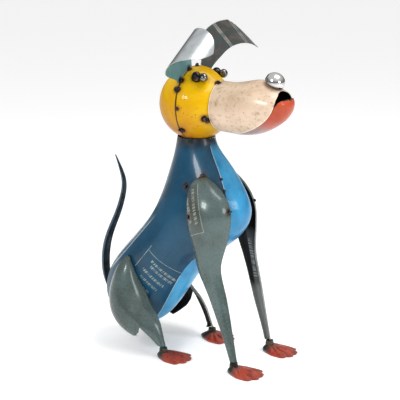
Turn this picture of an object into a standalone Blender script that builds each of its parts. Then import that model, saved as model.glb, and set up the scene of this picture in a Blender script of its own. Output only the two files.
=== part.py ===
# A sitting dog welded together from cut and hammered drum sheet.
# It faces +X, its right side is -Y, and its paws rest on the plane z = 0.
import math

import bmesh
import bpy
import numpy as np
from mathutils import Matrix, Vector

# sheet and clearances
sheet = 0.0012
fit_gap = 0.0004
seam_gap = 0.0007

# head, two half balls around one centre
head_x = -0.070
head_z = 0.553
head_radius = 0.080
socket_depth = 0.008

# neck and torso
neck_radius = 0.041
chest_strip_angle = math.radians(36)
chest_strip_neck = math.radians(12)
spine_strip_angle = math.radians(36)
spine_strip_neck = math.radians(13)

# muzzle, jaw and nose
muzzle_radius = 0.052
jaw_gap = 0.0016
nose_radius = 0.0215
nose_height = 0.026
nose_band = 0.008
nose_lift = 0.0022
nose_seat = 0.73
nose_way = (0.45, 0, 0.893)

# eyes, a ball that stands off the head along a way forward, outward and up, with a dark lump behind it
eye_radius = 0.0096
eye_way = (0.0429, 0.0391, 0.0610)
eye_stand = 0.0042034
eye_set_back = 0.0175
eye_lump_radius = 0.0110
eye_lump_tall = 1.09

# ears, curled sheets that stand on the head
left_ear_flat = 0.036
left_ear_curl = 0.054
left_ear_turn = math.radians(127)
left_ear_width = 0.105
left_ear_root = 0.044
left_ear_out = (-0.085, 0.536, 0.840)
left_ear_across = (-0.078, 0.836, -0.543)
left_ear_curl_way = (0.993, 0.112, 0.030)
right_ear_flat = 0.033
right_ear_curl = 0.043
right_ear_turn = math.radians(157)
right_ear_width = 0.119
right_ear_root = 0.054
right_ear_out = (-0.010, -0.599, 0.801)
right_ear_across = (0.047, 0.799, 0.599)
right_ear_curl_way = (0.999, -0.043, -0.020)

# legs, ankles and paws
leg_seat = 0.0012
front_leg_inner = 0.060
front_leg_lean = 0.012
front_leg_bulge = 0.034
hind_leg_inner = 0.064
hind_leg_bulge = 0.046
front_leg_splay = 0.014
right_hind_leg_splay = 0.018
left_hind_leg_splay = 0.008
splay_low = 0.02
splay_height = 0.15
lean_low = 0.34
lean_height = 0.07
step_begin = -0.20
step_reach = 0.08
left_hind_leg_step = 0.023
ankle_radius = 0.0085
ankle_lead = 0.003
ankle_inset = 0.004
paw_length = 0.089
paw_width = 0.078
paw_height = 0.0155
paw_edge = 0.004
heel_taper = 0.42
# how far forward and outward of its ankle the middle of each paw is
right_front_paw_set = (0.0210, -0.0070)
left_front_paw_set = (0.0215, 0.0020)
right_hind_paw_set = (0.0180, -0.0090)
left_hind_paw_set = (0.0105, 0.0010)

# tail
tail_half_width = 0.013
tail_depth = 0.012
tail_seat = 0.0012

# the torso's own profile, one row a station down the body:
# back x, back z, front x, front z, half width
torso_rows = [
    (-0.1170, 0.452, -0.0210, 0.458, 0.0440),
    (-0.1290, 0.412, 0.0140, 0.420, 0.054),
    (-0.1500, 0.350, 0.0500, 0.368, 0.070),
    (-0.1850, 0.293, 0.0660, 0.322, 0.078),
    (-0.2350, 0.238, 0.0360, 0.268, 0.080),
    (-0.2810, 0.186, -0.0350, 0.219, 0.078),
    (-0.3060, 0.140, -0.0770, 0.160, 0.070),
    (-0.3120, 0.095, -0.1130, 0.105, 0.058),
    (-0.2880, 0.055, -0.1500, 0.062, 0.040),
    (-0.2420, 0.036, -0.1880, 0.040, 0.014),
]

# front legs: height, rear edge x, front edge x, share of the bulge
right_front_leg_rows = [
    (0.4090, -0.0260, -0.0140, 0.10),
    (0.3980, -0.0410, 0.0060, 0.45),
    (0.3770, -0.0480, 0.0360, 0.78),
    (0.3450, -0.0460, 0.0540, 0.98),
    (0.3050, -0.0380, 0.0530, 1.00),
    (0.2650, -0.0310, 0.0420, 0.90),
    (0.2300, -0.0290, 0.0310, 0.82),
    (0.2040, -0.0220, 0.0310, 0.75),
    (0.1650, -0.0010, 0.0430, 0.64),
    (0.1200, 0.0190, 0.0550, 0.50),
    (0.0750, 0.0430, 0.0680, 0.36),
    (0.0250, 0.0625, 0.0800, 0.27),
]
left_front_leg_rows = [
    (0.4090, -0.0260, -0.0140, 0.10),
    (0.3980, -0.0400, 0.0000, 0.45),
    (0.3750, -0.0420, 0.0220, 0.70),
    (0.3400, -0.0340, 0.0400, 0.80),
    (0.3050, -0.0240, 0.0450, 0.80),
    (0.2650, -0.0060, 0.0430, 0.75),
    (0.2300, 0.0080, 0.0420, 0.66),
    (0.2040, 0.0170, 0.0460, 0.60),
    (0.1650, 0.0290, 0.0560, 0.52),
    (0.1200, 0.0390, 0.0635, 0.45),
    (0.0750, 0.0500, 0.0680, 0.36),
    (0.0250, 0.0620, 0.0765, 0.27),
]

# hind legs: rear edge x and z, front edge x and z, share of the bulge
hind_leg_rows = [
    (-0.2050, 0.214, -0.1970, 0.211, 0.12),
    (-0.2280, 0.194, -0.1850, 0.191, 0.45),
    (-0.2430, 0.165, -0.1740, 0.163, 0.78),
    (-0.2520, 0.130, -0.1590, 0.135, 0.97),
    (-0.2480, 0.095, -0.1450, 0.111, 1.00),
    (-0.2320, 0.066, -0.1300, 0.096, 0.92),
    (-0.2070, 0.046, -0.1210, 0.085, 0.80),
    (-0.1810, 0.036, -0.1130, 0.072, 0.66),
    (-0.1560, 0.031, -0.1085, 0.060, 0.50),
    (-0.1350, 0.028, -0.1050, 0.050, 0.36),
    (-0.1210, 0.0250, -0.1010, 0.038, 0.28),
    (-0.1095, 0.0240, -0.0970, 0.027, 0.22),
]
# the notch cut up between the thigh's lower lobe and the shin, seen from the side
right_notch_outline = [
    (-0.1480, 0.068), (-0.1500, 0.055), (-0.1610, 0.046), (-0.1750, 0.038), (-0.1760, 0.005),
    (-0.1050, 0.005), (-0.1100, 0.0235), (-0.1180, 0.036), (-0.1265, 0.047), (-0.1380, 0.059),
]
left_notch_outline = [
    (-0.1500, 0.090), (-0.1560, 0.070), (-0.1640, 0.054), (-0.1840, 0.035), (-0.1860, 0.005),
    (-0.0820, 0.005), (-0.0890, 0.0225), (-0.1050, 0.041), (-0.1270, 0.066), (-0.1420, 0.083),
]

# tail centre line above the body: x, z, share of the width
tail_rows = [
    (-0.2870, 0.417, 0.10),
    (-0.2690, 0.380, 0.45),
    (-0.2620, 0.345, 0.62),
    (-0.2780, 0.289, 0.78),
    (-0.3020, 0.238, 0.90),
    (-0.3150, 0.198, 1.00),
    (-0.3190, 0.158, 1.00),
]
# where the tail comes down on the back: height, stand off, share of the width
tail_root_rows = [
    (0.126, 0.0045, 0.85),
    (0.098, 0.0000, 0.15),
]

# muzzle: top x, top z, bottom x, bottom z, half width, edge angle from the top
muzzle_rows = [
    (0.0250, 0.6040, 0.0150, 0.4985, 0.0540, 154),
    (0.0600, 0.6100, 0.0520, 0.4965, 0.0540, 150),
    (0.0880, 0.6150, 0.0920, 0.5040, 0.0520, 138),
    (0.1090, 0.6065, 0.1270, 0.5220, 0.0475, 124),
    (0.1240, 0.5995, 0.1500, 0.5420, 0.0400, 99),
    (0.1345, 0.5940, 0.1590, 0.5640, 0.0280, 53),
]
# the lower jaw's edge angles at the same stations, head first
jaw_edge_angles = (146, 146, 142, 130, 116, 93, 94)
# the tongue end beyond the last muzzle station, same columns as the muzzle
tongue_rows = [
    (0.1370, 0.5910, 0.1570, 0.5720, 0.0200, 108),
    (0.1420, 0.5860, 0.1545, 0.5790, 0.0100, 135),
]
# the crease that ends the forehead over the sockets: degrees from the middle, degrees up
crease_rows = [(0, 37.5), (11, 43.6), (20.5, 47.8), (28.5, 57.0), (48, 62.0), (90, 60.7)]

half_pi = math.pi / 2
pieces = bpy.data.collections.new("scrap_metal_dog")
cutters = bpy.data.collections.new("cutters")


def clear_scene():
    for obj in list(bpy.data.objects):
        bpy.data.objects.remove(obj, do_unlink=True)
    bpy.context.scene.collection.children.link(pieces)
    bpy.context.scene.collection.children.link(cutters)


def material(name, color, roughness, metallic):
    paint = bpy.data.materials.new(name)
    paint.use_nodes = True
    shader = paint.node_tree.nodes["Principled BSDF"]
    shader.inputs["Base Color"].default_value = (*color, 1.0)
    shader.inputs["Roughness"].default_value = roughness
    shader.inputs["Metallic"].default_value = metallic
    paint.diffuse_color = (*color, 1.0)
    return paint


def smooth_row(rows, t):
    """Row of values at t in 0..1, on a smooth curve through all the rows."""
    rows = np.asarray(rows, dtype=float)
    last = len(rows) - 1
    place = min(max(t, 0.0), 1.0) * last
    i = min(int(place), last - 1)
    f = place - i
    p1, p2 = rows[i], rows[i + 1]
    p0 = rows[i - 1] if i > 0 else 2 * p1 - p2
    p3 = rows[i + 2] if i + 2 <= last else 2 * p2 - p1
    return 0.5 * (2 * p1 + (p2 - p0) * f + (2 * p0 - 5 * p1 + 4 * p2 - p3) * f * f
                  + (3 * p1 - p0 - 3 * p2 + p3) * f ** 3)


def finish(name, mesh_data, paint, thickness=0.0):
    mesh = bpy.data.meshes.new(name)
    mesh_data.to_mesh(mesh)
    mesh_data.free()
    mesh.shade_smooth()
    mesh.set_sharp_from_angle(angle=math.radians(40))
    mesh.materials.append(paint)
    obj = bpy.data.objects.new(name, mesh)
    pieces.objects.link(obj)
    if thickness:
        wall = obj.modifiers.new("sheet", "SOLIDIFY")
        wall.thickness = thickness
        wall.offset = -1.0
    return obj


def loft(rows):
    """Triangle grid through rows of points, facing along column direction x row direction."""
    bm = bmesh.new()
    grid = [[bm.verts.new(p) for p in row] for row in rows]
    for upper, lower in zip(grid, grid[1:]):
        for a, b, c, d in zip(upper, upper[1:], lower[1:], lower):
            if (a.co - c.co).length <= (b.co - d.co).length:
                bm.faces.new((a, b, c))
                bm.faces.new((a, c, d))
            else:
                bm.faces.new((a, b, d))
                bm.faces.new((b, c, d))
    bmesh.ops.remove_doubles(bm, verts=bm.verts, dist=0.00002)
    return bm


def torso_table():
    """All torso stations, the neck ring first, which stops just under the head ball."""
    inner = neck_radius - sheet
    top = head_z - math.sqrt((head_radius + fit_gap) ** 2 - inner ** 2) - fit_gap
    neck = (head_x - neck_radius, top, head_x + neck_radius, top, neck_radius)
    return [neck] + torso_rows


def torso_ring(t):
    back_x, back_z, front_x, front_z, half = smooth_row(torso_table(), t)
    center = Vector(((back_x + front_x) / 2, 0, (back_z + front_z) / 2))
    depth = Vector(((front_x - back_x) / 2, 0, (front_z - back_z) / 2))
    return center, depth, half


def torso_point(t, angle):
    """Angle 0 is the chest line, a quarter turn the dog's right side, half a turn the back."""
    center, depth, half = torso_ring(t)
    return center + depth * math.cos(angle) + Vector((0, -half * math.sin(angle), 0))


def torso_side(x, z):
    """Half width of the torso beside the point x, z, and 0 outside its outline."""
    best = None
    for step in range(601):
        center, depth, half = torso_ring(step / 600)
        away = Vector((x - center.x, 0, z - center.z))
        along = away.dot(depth) / depth.length_squared
        miss = (away - depth * along).length
        if best is None or miss < best[0]:
            best = (miss, along, half)
    return best[2] * math.sqrt(max(0.0, 1 - best[1] ** 2))


def torso_back(z):
    """Most rearward x of the torso at height z."""
    rings = [torso_ring(step / 400) for step in range(401)]
    backs = [center - depth for center, depth, half in rings]
    return min(backs, key=lambda point: abs(point.z - z)).x


def rise(value):
    value = min(max(value, 0.0), 1.0)
    return value * value * (3 - 2 * value)


def torso_panel(name, start, end, columns, paint, stations=15):
    """One bent sheet of the torso between two seam angles, which are functions of t."""
    rows = []
    for i in range(stations + 1):
        t = i / stations
        first, last = start(t), end(t)
        step = 0.01
        width_first = (torso_point(t, first + step) - torso_point(t, first)).length / step
        width_last = (torso_point(t, last) - torso_point(t, last - step)).length / step
        first += seam_gap / 2 / width_first
        last -= seam_gap / 2 / width_last
        rows.append([torso_point(t, first + (last - first) * j / columns) for j in range(columns + 1)])
    return finish(name, loft(rows), paint, sheet)


def chest_angle(t):
    return chest_strip_neck + (chest_strip_angle - chest_strip_neck) * rise((t + 0.05) / 0.35)


def spine_angle(t):
    return spine_strip_neck + (spine_strip_angle - spine_strip_neck) * rise(t / 0.5)


def build_torso(side_paint, chest_paint, spine_paint):
    torso_panel("torso_side_right", chest_angle, lambda t: math.pi - spine_angle(t), 9, side_paint)
    torso_panel("torso_side_left", lambda t: math.pi + spine_angle(t),
                lambda t: 2 * math.pi - chest_angle(t), 9, side_paint)
    torso_panel("chest_belly_strip", lambda t: -chest_angle(t), chest_angle, 4, chest_paint)
    torso_panel("spine_strip", lambda t: math.pi - spine_angle(t),
                lambda t: math.pi + spine_angle(t), 3, spine_paint)


def socket_depth_at(point):
    """How deep the sheet is pressed in over the eye, up to the crease that ends the forehead."""
    direction = point.normalized()
    side = math.degrees(abs(math.atan2(direction.y, direction.x)))
    height = math.degrees(math.asin(max(-1.0, min(1.0, direction.z))))
    forward = math.degrees(math.acos(max(-1.0, min(1.0, direction.x))))
    muzzle_edge = math.degrees(math.asin(muzzle_radius / head_radius))
    sides, heights = zip(*crease_rows)
    share = rise((float(np.interp(side, sides, heights)) - height + 1) / 7)
    share *= rise((height - 22) / 14) * rise((forward - muzzle_edge - 1) / 10)
    return socket_depth * share * (1 - rise((side - 64) / 18))


def half_skin(front, segments, rings):
    """Outer skin of half a head ball with its poles fore and aft, around the origin."""
    bm = bmesh.new()
    bmesh.ops.create_uvsphere(bm, u_segments=segments, v_segments=rings, radius=head_radius)
    bmesh.ops.rotate(bm, verts=bm.verts, matrix=Matrix.Rotation(half_pi, 3, "Y"))
    sign = 1 if front else -1
    bmesh.ops.delete(bm, geom=[v for v in bm.verts if v.co.x * sign < -0.001], context="VERTS")
    if front:
        for v in bm.verts:
            v.co -= v.co.normalized() * socket_depth_at(v.co)
    bmesh.ops.triangulate(bm, faces=bm.faces)
    return bm


def half_ball(name, front, paint, segments, rings):
    """Half a head ball, cut at the upright seam."""
    bm = half_skin(front, segments, rings)
    for v in bm.verts:
        if abs(v.co.x) < 0.001:
            v.co.x = seam_gap / 2 if front else -seam_gap / 2
        v.co += Vector((head_x, 0, head_z))
    return finish(name, bm, paint, sheet)


def keep_cutter(name, mesh_data):
    bmesh.ops.recalc_face_normals(mesh_data, faces=mesh_data.faces)
    mesh = bpy.data.meshes.new(name)
    mesh_data.to_mesh(mesh)
    mesh_data.free()
    cutter = bpy.data.objects.new(name, mesh)
    cutters.objects.link(cutter)
    cutter.hide_render = True
    cutter.display_type = "WIRE"
    return cutter


def cut_away(obj, cutter):
    cut = obj.modifiers.new("cut_by_" + cutter.name, "BOOLEAN")
    cut.operation = "DIFFERENCE"
    cut.object = cutter


def head_cutter(segments, rings):
    """The front half of the head as a solid, grown by the fit gap."""
    bm = half_skin(True, segments, rings)
    for v in bm.verts:
        v.co += v.co.normalized() * fit_gap
    middle = bm.verts.new((0, 0, 0))
    for edge in [e for e in bm.edges if e.is_boundary]:
        bm.faces.new((edge.verts[0], edge.verts[1], middle))
    bmesh.ops.translate(bm, verts=bm.verts, vec=(head_x, 0, head_z))
    return keep_cutter("head_cutter", bm)


def muzzle_point(row, angle, inset=0.0):
    """Point of a muzzle station; angle 0 is its top, positive goes down the dog's right side."""
    top_x, top_z, bottom_x, bottom_z, half, edge = row
    center = Vector(((top_x + bottom_x) / 2, 0, (top_z + bottom_z) / 2))
    tall = Vector(((top_x - bottom_x) / 2, 0, (top_z - bottom_z) / 2))
    tall *= (tall.length - inset) / tall.length
    return center + tall * math.cos(angle) + Vector((0, -(half - inset) * math.sin(angle), 0))


def muzzle_root(inner_radius, edge):
    """The ring where the muzzle meets the head ball, just clear of it."""
    x = head_x + math.sqrt((head_radius + fit_gap) ** 2 - inner_radius ** 2) + fit_gap
    return (x, head_z + muzzle_radius, x, head_z - muzzle_radius, muzzle_radius, edge)


def build_muzzle(paint):
    table = [muzzle_root(muzzle_radius - sheet, 156)] + muzzle_rows
    rows = []
    for i in range(13):
        row = smooth_row(table, i / 12)
        edge = math.radians(row[5])
        rows.append([muzzle_point(row, edge - 2 * edge * j / 14) for j in range(15)])
    return finish("muzzle", loft(rows), paint, sheet)


def build_jaw(paint):
    inset = sheet + jaw_gap
    table = [muzzle_root(muzzle_radius - inset - sheet, 0)] + muzzle_rows
    table = [row[:5] + (edge,) for row, edge in zip(table, jaw_edge_angles)] + tongue_rows
    lips = [156] + [row[5] for row in muzzle_rows] + [40, 40]
    rows = []
    for i in range(13):
        row = smooth_row(table, i / 12)
        lip = math.radians(smooth_row([(a,) for a in lips], i / 12)[0])
        edge = math.radians(row[5])
        points = []
        for j in range(13):
            angle = edge + 2 * (math.pi - edge) * j / 12
            side = min(angle, 2 * math.pi - angle)
            drop = rise((side - lip - 0.07) / max(0.2, math.pi - lip - 0.07))
            points.append(muzzle_point(row, angle, inset * (1 - drop)))
        rows.append(list(reversed(points)))
    return finish("lower_jaw", loft(rows), paint, sheet)


def turn_toward(direction):
    return Vector(direction).normalized().to_track_quat("Z", "Y").to_matrix().to_4x4()


def turned(name, profile, steps, place, paint):
    """A turned piece: profile of radius and height, outer side from the top down."""
    bm = bmesh.new()
    ring = [bm.verts.new((radius, 0, height)) for radius, height in profile]
    for a, b in zip(ring, ring[1:]):
        bm.edges.new((a, b))
    obj = finish(name, bm, paint)
    lathe = obj.modifiers.new("turn", "SCREW")
    lathe.steps = steps
    lathe.render_steps = steps
    lathe.use_merge_vertices = True
    lathe.merge_threshold = 0.00001
    lathe.use_smooth_shade = True
    obj.matrix_world = place
    return obj


def build_nose(paint):
    row = smooth_row([muzzle_root(muzzle_radius, 0)] + muzzle_rows, nose_seat)
    seat = Vector((row[0], 0, row[1]))
    axis = Vector(nose_way).normalized()
    dome = nose_height - nose_band
    profile = [(nose_radius * math.sin(k * half_pi / 5), nose_band + dome * math.cos(k * half_pi / 5))
               for k in range(6)]
    profile += [(nose_radius, nose_band * 0.35), (nose_radius * 0.86, 0), (0, 0)]
    place = Matrix.Translation(seat + axis * (fit_gap + nose_lift)) @ turn_toward(axis)
    return turned("nose", profile, 20, place, paint)


def eye_sphere(place, radius):
    bm = bmesh.new()
    bmesh.ops.create_uvsphere(bm, u_segments=12, v_segments=8, radius=radius)
    bmesh.ops.translate(bm, verts=bm.verts, vec=place)
    return bm


def build_eye(side, sign, ball_paint, stub_paint, skull):
    """A steel ball set in front of a dark lump that fills the gap down to the socket."""
    forward, outward, upward = Vector(eye_way).normalized() * (head_radius + eye_stand)
    place = Vector((head_x + forward, sign * outward, head_z + upward))
    finish("eye_ball_" + side, eye_sphere(place, eye_radius), ball_paint)
    lump = bmesh.new()
    bmesh.ops.create_uvsphere(lump, u_segments=12, v_segments=8, radius=eye_lump_radius)
    bmesh.ops.scale(lump, verts=lump.verts, vec=(1, 1, eye_lump_tall))
    bmesh.ops.translate(lump, verts=lump.verts, vec=place - Vector((eye_set_back, 0, 0)))
    stub = finish("eye_stub_" + side, lump, stub_paint)
    cut_away(stub, skull)
    cut_away(stub, keep_cutter("eye_cutter_" + side, eye_sphere(place, eye_radius + fit_gap)))


def build_ear(name, out, across, curl_way, flat, radius, turn, low_edge, high_edge, paint):
    """A sheet that stands off the head along out and curls over toward curl_way."""
    out, across, curl_way = (Vector(v).normalized() for v in (out, across, curl_way))
    head = Vector((head_x, 0, head_z))
    length = flat + radius * turn
    stations, columns = 13, 6
    rows = []
    for i in range(stations + 1):
        s = i / stations
        row = []
        for j in range(columns + 1):
            v = low_edge(s) + (high_edge(s) - low_edge(s)) * j / columns
            foot = math.sqrt((head_radius + fit_gap) ** 2 - v * v) + sheet
            u = s * length
            if u < flat:
                lift = foot + (head_radius + flat - foot) * u / flat
                row.append(head + out * lift + across * v)
            else:
                angle = (u - flat) / radius
                row.append(head + out * (head_radius + flat + radius * math.sin(angle))
                           + curl_way * radius * (1 - math.cos(angle)) + across * v)
        rows.append(row)
    obj = finish(name, loft(rows), paint, sheet)
    obj.modifiers["sheet"].offset = 0.0
    return obj


def build_ears(left_paint, right_paint):
    def left_high(s):
        return left_ear_root / 2 + (left_ear_width - left_ear_root) / 2 * rise(s / 0.4)

    def left_low(s):
        return -left_high(s) + left_ear_width * rise((s - 0.79) / 0.225)

    def right_half(s):
        wide = right_ear_root / 2 + (right_ear_width - right_ear_root) / 2 * rise(s / 0.34)
        end = max(0.0, (s - 0.22) / 0.78)
        return wide * math.sqrt(max(0.002, 1 - end ** 1.94))

    build_ear("ear_left", left_ear_out, left_ear_across, left_ear_curl_way, left_ear_flat,
              left_ear_curl, left_ear_turn, left_low, left_high, left_paint)
    build_ear("ear_right", right_ear_out, right_ear_across, right_ear_curl_way, right_ear_flat,
              right_ear_curl, right_ear_turn,
              lambda s: 0.005 + 0.016 * s - right_half(s),
              lambda s: 0.005 + 0.016 * s + right_half(s), right_paint)


def leg_shell(name, rows, sign, bulge, inner, stations, paint):
    """An open half shell whose edges rest on the torso as far as that goes."""
    grid = []
    for i in range(stations + 1):
        rear_x, rear_z, front_x, front_z, share = smooth_row(rows, i / stations)
        rear = max(torso_side(rear_x, rear_z) + leg_seat, inner(rear_z))
        front = max(torso_side(front_x, front_z) + leg_seat, inner(front_z))
        line = []
        for j in range(7):
            angle = math.pi * j / 6
            mix = (1 - math.cos(angle)) / 2
            line.append(Vector((rear_x + (front_x - rear_x) * mix,
                                sign * (rear + (front - rear) * mix + bulge * share * math.sin(angle)),
                                rear_z + (front_z - rear_z) * mix)))
        grid.append(line if sign > 0 else list(reversed(line)))
    return finish(name, loft(grid), paint, sheet)


def splay(z, amount):
    """How far outward a leg's lower end is set."""
    return amount * (1 - rise((z - splay_low) / splay_height))


def front_inner(z):
    return front_leg_inner - front_leg_lean * rise((z - lean_low) / lean_height) + splay(z, front_leg_splay)


def stepped(x, step):
    """The thigh stays where it is and the shin is set forward by the whole step."""
    return x + step * rise((x - step_begin) / step_reach)


def cut_notch(leg, side, sign, outline):
    """Cuts the open notch between thigh and shin with a prism that runs across the leg."""
    bm = bmesh.new()
    corners = [bm.verts.new((x, sign * 0.5 * hind_leg_inner, z)) for x, z in outline]
    face = bm.faces.new(corners)
    wide = hind_leg_inner + 2 * hind_leg_bulge
    grown = bmesh.ops.extrude_face_region(bm, geom=[face])["geom"]
    bmesh.ops.translate(bm, verts=[v for v in grown if isinstance(v, bmesh.types.BMVert)],
                        vec=(0, sign * wide, 0))
    cut_away(leg, keep_cutter("notch_cutter_" + side, bm))


def leg_end(rear, front, z, inner, sign):
    return Vector(((rear + front) / 2 + ankle_lead, sign * (inner + ankle_inset), z))


def build_legs(paint, ankle_paint, paw_paint):
    for side, sign, rows, hind_splay, leg_step, notch, front_set, hind_set in (
            ("right", -1, right_front_leg_rows, right_hind_leg_splay, 0.0,
             right_notch_outline, right_front_paw_set, right_hind_paw_set),
            ("left", 1, left_front_leg_rows, left_hind_leg_splay, left_hind_leg_step,
             left_notch_outline, left_front_paw_set, left_hind_paw_set)):
        front_rows = [(rear, z, front, z, share) for z, rear, front, share in rows]
        leg_shell("front_leg_" + side, front_rows, sign, front_leg_bulge, front_inner, 15, paint)
        z, rear, front, share = rows[-1]
        foot = leg_end(rear, front, z, front_inner(z), sign)
        build_ankle("front_ankle_" + side, foot, ankle_paint)
        build_paw("front_paw_" + side, foot, sign, front_set, paw_paint)

        def hind_inner(z, amount=hind_splay):
            return hind_leg_inner + splay(z, amount)

        hind_rows = [(stepped(rear_x, leg_step), rear_z, stepped(front_x, leg_step), front_z, share)
                     for rear_x, rear_z, front_x, front_z, share in hind_leg_rows]
        leg = leg_shell("hind_leg_" + side, hind_rows, sign, hind_leg_bulge, hind_inner, 18, paint)
        cut_notch(leg, side, sign, notch)
        rear_x, rear_z, front_x, front_z, share = hind_rows[-1]
        foot = leg_end(rear_x, front_x, rear_z, hind_inner(rear_z), sign)
        build_ankle("hind_ankle_" + side, foot, ankle_paint)
        build_paw("hind_paw_" + side, foot, sign, hind_set, paw_paint)


def build_ankle(name, foot, paint):
    """A short stub of tube between a leg's end and its paw."""
    low = paw_height + fit_gap
    bm = bmesh.new()
    bmesh.ops.create_cone(bm, cap_ends=True, segments=12, radius1=ankle_radius * 1.15,
                          radius2=ankle_radius, depth=foot.z - fit_gap - low)
    bmesh.ops.translate(bm, verts=bm.verts, vec=Vector((foot.x, foot.y, (foot.z - fit_gap + low) / 2)))
    return finish(name, bm, paint)


def paw_outline():
    """Angles and radii of a paw seen from above, as shares: four toes in front, a round heel."""
    spread = math.radians(68)
    toes, per_toe, heel_steps = 4, 4, 11
    outline = []
    for k in range(toes * per_toe):
        angle = -spread + 2 * spread * k / (toes * per_toe)
        bump = abs(math.sin(math.pi * k / per_toe)) ** 0.6
        outline.append((angle, 0.86 + 0.14 * bump, bump))
    for k in range(heel_steps):
        angle = spread + (2 * math.pi - 2 * spread) * k / heel_steps
        outline.append((angle, 0.90 if 0 < k else 0.87, 1.0))
    return outline


def paw_edge_point(angle, share):
    """Point of a paw's edge around its middle: wide at the toes, narrow at the heel."""
    heel = 1 - rise((math.cos(angle) + 1) / 1.5)
    return Vector((paw_length / 2 * share * math.cos(angle),
                   paw_width / 2 * share * math.sin(angle) * (1 - heel_taper * heel), 0))


def build_paw(name, foot, sign, paw_set, paint):
    """A solid toed dome, flat below, with its crown under the ankle."""
    crown = Vector((foot.x, foot.y, 0))
    forward, outward = paw_set
    center = crown + Vector((forward, sign * outward, 0))
    outline = paw_outline()
    edge = [center + paw_edge_point(angle, share) for angle, share, bump in outline]
    print(name, "middle", [round(value, 4) for value in center])
    bm = bmesh.new()
    rings = []
    for height, spread in ((0.0, 0.97), (paw_edge, 1.0), (0.55 * paw_height, 0.80), (0.86 * paw_height, 0.50)):
        ring = []
        for point, (angle, share, bump) in zip(edge, outline):
            lift = height * (1 - 0.22 * (1 - bump)) if height > paw_edge else height
            ring.append(bm.verts.new(crown + (point - crown) * spread + Vector((0, 0, lift))))
        rings.append(ring)
    pad = ankle_radius * 1.15 + 0.002
    top = []
    for point in edge:
        away = point - crown
        reach = min(pad, 0.46 * away.length)
        top.append(bm.verts.new(crown + away.normalized() * reach + Vector((0, 0, paw_height))))
    rings.append(top)
    count = len(outline)
    for low, high in zip(rings, rings[1:]):
        for k in range(count):
            n = (k + 1) % count
            bm.faces.new((low[k], low[n], high[n]))
            bm.faces.new((low[k], high[n], high[k]))
    under = bm.verts.new(crown)
    over = bm.verts.new(crown + Vector((0, 0, paw_height)))
    for k in range(count):
        n = (k + 1) % count
        bm.faces.new((rings[0][n], rings[0][k], under))
        bm.faces.new((top[k], top[n], over))
    return finish(name, bm, paint)


def build_tail(paint):
    table = list(tail_rows)
    for z, off, share in tail_root_rows:
        table.append((torso_back(z) - tail_seat - off, z, share))
    stations, columns = 16, 4
    rows = []
    for i in range(stations + 1):
        x, z, share = smooth_row(table, i / stations)
        before = smooth_row(table, (i - 0.2) / stations)
        after = smooth_row(table, (i + 0.2) / stations)
        along = Vector((after[0] - before[0], 0, after[1] - before[1])).normalized()
        forward = Vector((-along.z, 0, along.x))
        row = []
        for j in range(columns + 1):
            angle = math.pi * (j / columns - 0.5)
            row.append(Vector((x, 0, z)) - forward * tail_depth * share * math.cos(angle)
                       + Vector((0, tail_half_width * share * math.sin(angle), 0)))
        rows.append(row)
    return finish("tail", loft(rows), paint, sheet)


def stand_on_origin():
    """Moves everything so that the origin is under the middle of the dog, on the floor."""
    bpy.context.view_layer.update()
    graph = bpy.context.evaluated_depsgraph_get()
    corners = []
    for obj in pieces.objects:
        shape = obj.evaluated_get(graph)
        corners += [shape.matrix_world @ Vector(corner) for corner in shape.bound_box]
    low = Vector([min(corner[axis] for corner in corners) for axis in range(3)])
    high = Vector([max(corner[axis] for corner in corners) for axis in range(3)])
    shift = Vector((-(low.x + high.x) / 2, -(low.y + high.y) / 2, -low.z))
    for obj in list(pieces.objects) + list(cutters.objects):
        obj.matrix_world = Matrix.Translation(shift) @ obj.matrix_world
    print("moved by", [round(value, 5) for value in shift], "size", [round(value, 4) for value in high - low])


def main():
    clear_scene()
    blue = material("blue_paint", (0.03, 0.12, 0.24), 0.32, 0.1)
    bright_blue = material("bright_blue_paint", (0.03, 0.20, 0.45), 0.28, 0.1)
    worn_blue = material("worn_blue_paint", (0.12, 0.20, 0.25), 0.45, 0.2)
    yellow = material("yellow_paint", (0.90, 0.55, 0.01), 0.30, 0.1)
    cream = material("cream_paint", (0.66, 0.50, 0.35), 0.40, 0.0)
    red = material("red_paint", (0.60, 0.13, 0.06), 0.35, 0.0)
    gray_green = material("gray_green_paint", (0.15, 0.22, 0.22), 0.35, 0.2)
    steel = material("polished_steel", (0.75, 0.74, 0.72), 0.12, 1.0)
    burnt = material("burnt_steel", (0.06, 0.05, 0.05), 0.45, 0.8)
    zinc = material("galvanized_sheet", (0.62, 0.65, 0.66), 0.30, 0.9)
    dark_sheet = material("dark_painted_sheet", (0.10, 0.10, 0.10), 0.40, 0.4)
    build_torso(blue, bright_blue, worn_blue)
    half_ball("head_back", False, yellow, 24, 10)
    half_ball("head_front", True, yellow, 34, 16)
    build_muzzle(cream)
    build_jaw(red)
    build_nose(steel)
    skull = head_cutter(34, 16)
    build_eye("right", -1, steel, burnt, skull)
    build_eye("left", 1, steel, burnt, skull)
    build_ears(dark_sheet, zinc)
    build_legs(gray_green, burnt, red)
    build_tail(blue)
    stand_on_origin()


main()
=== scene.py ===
import math

import bpy
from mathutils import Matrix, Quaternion, Vector
from mathutils.bvhtree import BVHTree


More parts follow.
